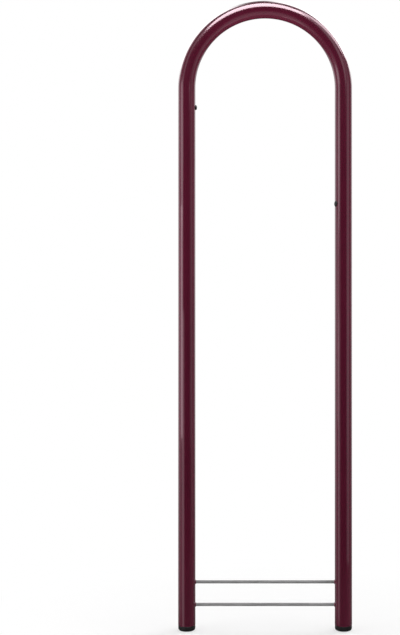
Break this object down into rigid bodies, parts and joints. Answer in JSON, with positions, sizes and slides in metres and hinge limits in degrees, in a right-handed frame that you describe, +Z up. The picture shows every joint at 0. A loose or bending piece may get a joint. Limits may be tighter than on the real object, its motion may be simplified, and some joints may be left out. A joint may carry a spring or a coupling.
{
  "type": "hoop bike rack",
  "caption": "Tall inverted-U hoop of bent steel tube with thin anchor rods across its feet, to be cast in the ground so that a bicycle can lean on it and be locked to it.",
  "frame": {"origin": "midway between the legs' axes, on the plane of the undersides of the foot caps, which is the bottom of the stretch that is cast in concrete", "axes": "+Z up the legs to the top of the bend, +X from the left leg to the right leg, -Y out of the front face that the picture shows"},
  "size_m": [0.3382, 0.0334, 1.224],
  "materials": {
    "burgundy_paint": "glossy deep burgundy powder coat",
    "bare_steel": "drawn, dull grey",
    "black_plastic": "moulded, matte black"
  },
  "bodies": {
    "root": {"hoop_tube": "burgundy_paint", "left_foot_cap": "black_plastic", "right_foot_cap": "black_plastic", "lower_anchor_rod": "bare_steel", "upper_anchor_rod": "bare_steel", "lower_left_weld": "burgundy_paint", "lower_right_weld": "burgundy_paint", "upper_left_weld": "burgundy_paint", "upper_right_weld": "burgundy_paint", "left_vent_plug": "black_plastic", "right_vent_plug": "black_plastic"}
  },
  "joints": []
}
